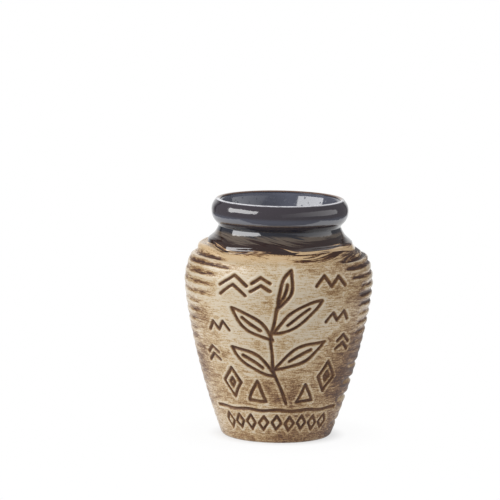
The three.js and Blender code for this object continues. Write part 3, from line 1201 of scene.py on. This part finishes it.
def rim_glaze():
    """Blue-black gloss that breaks to olive and brown where it runs thin down the shoulder."""
    f = Finish("rim_glaze")
    place = f.place()
    skin = f.mark("skin", "Vector")
    run = f.mark("along")
    crest = f.mark("crest")
    sway = f.noise(skin, GLAZE_SWAY, detail=3, roughness=0.6)
    fine = f.noise(skin, GLAZE_FINE)
    streak = f.noise(skin, GLAZE_STREAK, roughness=0.6, shift=GLAZE_STREAK_SHIFT)

    # Streaks move the colours up and down the shoulder
    moves = SWAY_MOVE * (sway - MEAN_NOISE) + FINE_MOVE * (fine - MEAN_NOISE)
    moves = moves + STREAK_MOVE * (streak - MEAN_NOISE)
    moves = moves - RIGHT_MOVE * f.step(f.axis(place, "X"), *RIGHT_GLAZE)
    colour = f.ramp(run + moves * f.step(run, *MOVES_END), RIM_COLOURS)

    # A painted highlight runs along the crest at the front. At the back the crest is brown, where the glaze
    # is thin
    front = f.step(f.axis(place, "Y"), *FRONT_GLAZE)
    crest_highlight = front * f.band(crest, *FRONT_CREST_HIGHLIGHT)
    brown = (1 - front) * f.band(crest, *BACK_CREST_LINE)
    colour = f.mix(crest_highlight * f.step(fine, *CREST_GAPS, top=FRONT_HIGHLIGHT_SHARE), colour, GLAZE_PAINTED_HIGHLIGHT)
    colour = f.mix(brown * f.step(fine, *CREST_GAPS, top=BACK_CREST_SHARE), colour, GLAZE_BREAK)

    ripple = f.noise(place, RIM_RIPPLE) + PEEL_SHARE * f.noise(place, RIM_PEEL)
    return f.surface({
        "Base Color": colour,
        "Roughness": GLAZE_ROUGHNESS,
        "Normal": f.bump(ripple, GLAZE_RELIEF, RIM_BUMP),
        "IOR": GLAZE_IOR,
    })


def pinholes(f, place):
    """1 inside small round pits that stand in some of the cells of a random pattern."""
    cells = {"Vector": place, "Scale": 1 / PIT_PITCH}
    distance = f.add("ShaderNodeTexVoronoi", None, cells, output="Distance")
    tint = f.add("ShaderNodeTexVoronoi", None, cells, output="Color")
    chosen = f.step(f.axis(tint, "X"), PIT_SHARE + PIT_SHARPNESS, PIT_SHARE)
    edge = PIT_RADIUS / PIT_PITCH
    return f.step(distance, edge, PIT_CORE * edge) * chosen


def lining_glaze():
    """The same gloss inside, a little bluer and dotted with pinholes."""
    f = Finish("lining_glaze")
    place = f.place()
    cloud = f.noise(place, LINING_CLOUD, detail=3)
    blue = LINING_BLUE + f.step(cloud, *CLOUD_LEVELS, top=CLOUD_BLUE)
    pits = pinholes(f, place)
    ripple = f.noise(place, LINING_RIPPLE) - PIT_DEPTH * pits
    return f.surface({
        "Base Color": f.mix(blue, GLAZE_BLACK, GLAZE_BLUE),
        "Roughness": GLAZE_ROUGHNESS + PIT_ROUGHNESS * pits,
        "Normal": f.bump(ripple, GLAZE_RELIEF, LINING_BUMP),
        "IOR": GLAZE_IOR,
    })


def dress(piece, material, node):
    """Gives a piece its finish and puts it in its node's place."""
    piece.data.materials.append(material)
    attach(piece, "root")
    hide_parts(node)


dress(make_clay(), washed_clay(), "stoneware_body")
dress(make_rim_coat(), rim_glaze(), "rim_glaze")
dress(make_lining(), lining_glaze(), "liner_glaze")


def add_camera():
    """A long lens a little above the cup, turned so that the cup falls on its place in the picture."""
    camera = bpy.data.objects.new("camera", bpy.data.cameras.new("camera"))
    bpy.context.collection.objects.link(camera)
    rise = math.radians(ELEVATION)
    middle = Vector((0, 0, MIDDLE)) * MM
    back = Vector((0, -math.cos(rise), math.sin(rise)))
    up = Vector((0, math.sin(rise), math.cos(rise)))
    right = Vector((1, 0, 0))
    below_middle = AXIS_PIXEL[1] - PICTURE / 2
    right_of_middle = AXIS_PIXEL[0] - PICTURE / 2
    aim = middle + (up * below_middle - right * right_of_middle) * PIXEL * MM
    camera.location = middle + back * DISTANCE * MM
    turn = (aim - camera.location).to_track_quat("-Z", "Y")
    camera.rotation_mode = "QUATERNION"
    camera.rotation_quaternion = turn @ Quaternion((0, 0, 1), math.radians(ROLL))
    camera.data.sensor_width = SENSOR
    camera.data.lens = SENSOR * DISTANCE / (PIXEL * PICTURE)
    bpy.context.scene.camera = camera


def add_softbox(name, azimuth, elevation, distance, size, radiance, roll=0, fade=False, mirrored=True):
    """A rectangular lamp that faces the middle of the cup, even or fading out towards its left."""
    lamp = bpy.data.lights.new(name, "AREA")
    lamp.shape = "RECTANGLE"
    lamp.size, lamp.size_y = (s * MM for s in size)
    lamp.energy = radiance * math.pi * lamp.size * lamp.size_y
    if fade:
        f = Finish(name, lamp)
        across = f.axis(f.add("ShaderNodeNewGeometry", output="Parametric"), "X")
        strength = LAMP_FADE_LEAST + f.step(across, *LAMP_FADE, top=1 - LAMP_FADE_LEAST)
        glow = f.add("ShaderNodeEmission", None, {"Strength": strength})
        f.add("ShaderNodeOutputLight", None, {"Surface": glow})
    box = bpy.data.objects.new(name, lamp)
    box.visible_glossy = mirrored
    bpy.context.collection.objects.link(box)
    side = math.radians(azimuth)
    rise = math.radians(elevation)
    way = Vector((math.sin(side) * math.cos(rise), -math.cos(side) * math.cos(rise), math.sin(rise)))
    box.location = Vector((0, 0, MIDDLE * MM)) + way * distance * MM
    turn = (-way).to_track_quat("-Z", "Y") @ Quaternion((0, 0, 1), math.radians(roll))
    box.rotation_euler = turn.to_euler()


def add_room():
    """White to the camera, and a dim room in reflections and as light on the cup."""
    world = bpy.data.worlds.new("studio")
    bpy.context.scene.world = world
    f = Finish("studio", world)
    unseen = ROOM_LIGHT + (ROOM_GLOSS - ROOM_LIGHT) * f.ray("Is Glossy Ray")
    strength = unseen + (ROOM_SEEN - unseen) * f.ray("Is Camera Ray")
    background = f.add("ShaderNodeBackground", None, {"Color": ROOM_COLOUR, "Strength": strength})
    f.add("ShaderNodeOutputWorld", None, {"Surface": background})


def add_stage_plane(name, middle, rotation, size, material):
    """A flat sheet of the studio, in millimetres."""
    bpy.ops.object.select_all(action="DESELECT")
    bpy.ops.mesh.primitive_plane_add(size=1, location=Vector(middle) * MM, rotation=rotation)
    plane = bpy.context.object
    plane.name = name
    plane.scale = (size[0] * MM, size[1] * MM, 1)
    bpy.ops.object.transform_apply()
    plane.data.materials.append(material)


def floor_white():
    """White to the eye and in gloss, with the cup's soft shadow left in close by."""
    f = Finish("floor_white")
    middle = f.add("ShaderNodeVectorMath", {"operation": "LENGTH"}, {0: f.place()}, output="Value")
    white = f.add("ShaderNodeBsdfDiffuse", None, {"Color": FLOOR_COLOUR})
    glow = f.add("ShaderNodeEmission", None, {"Color": WHITE, "Strength": 1.0})
    rays = {0: f.ray("Is Camera Ray"), 1: f.ray("Is Glossy Ray")}
    seen = f.add("ShaderNodeMath", {"operation": "MAXIMUM"}, rays)
    share = SHADOW_GLOW
    for inner, outer, gain in SHADOW_RINGS:
        share = share + f.step(middle, inner, outer, top=gain)
    return f.finished(f.add("ShaderNodeMixShader", None, {0: seen * share, 1: white, 2: glow}))


def backdrop_white():
    """A white glow that fades to black towards the left and the right."""
    f = Finish("backdrop_white")
    share = f.band(f.axis(f.place(), "X"), *BACKDROP_BAND)
    colour = f.mix(share, BLACK, WHITE)
    return f.finished(f.add("ShaderNodeEmission", None, {"Color": colour, "Strength": 1.0}))


add_camera()
add_room()
add_stage_plane("floor", FLOOR_MIDDLE, (0, 0, 0), FLOOR_SIZE, floor_white())
add_stage_plane("backdrop", BACKDROP_MIDDLE, (math.radians(90), 0, 0), BACKDROP_SIZE, backdrop_white())
add_softbox("key", azimuth=-71, elevation=28, distance=700, size=(700, 300), radiance=3.3, roll=8)
add_softbox(
    "soft_key", azimuth=-42, elevation=32, distance=900, size=(700, 700), radiance=1.4, mirrored=False,
)
add_softbox("fill", azimuth=58, elevation=22, distance=700, size=(1900, 420), radiance=0.85, fade=True)
bpy.context.scene.view_settings.view_transform = "Standard"
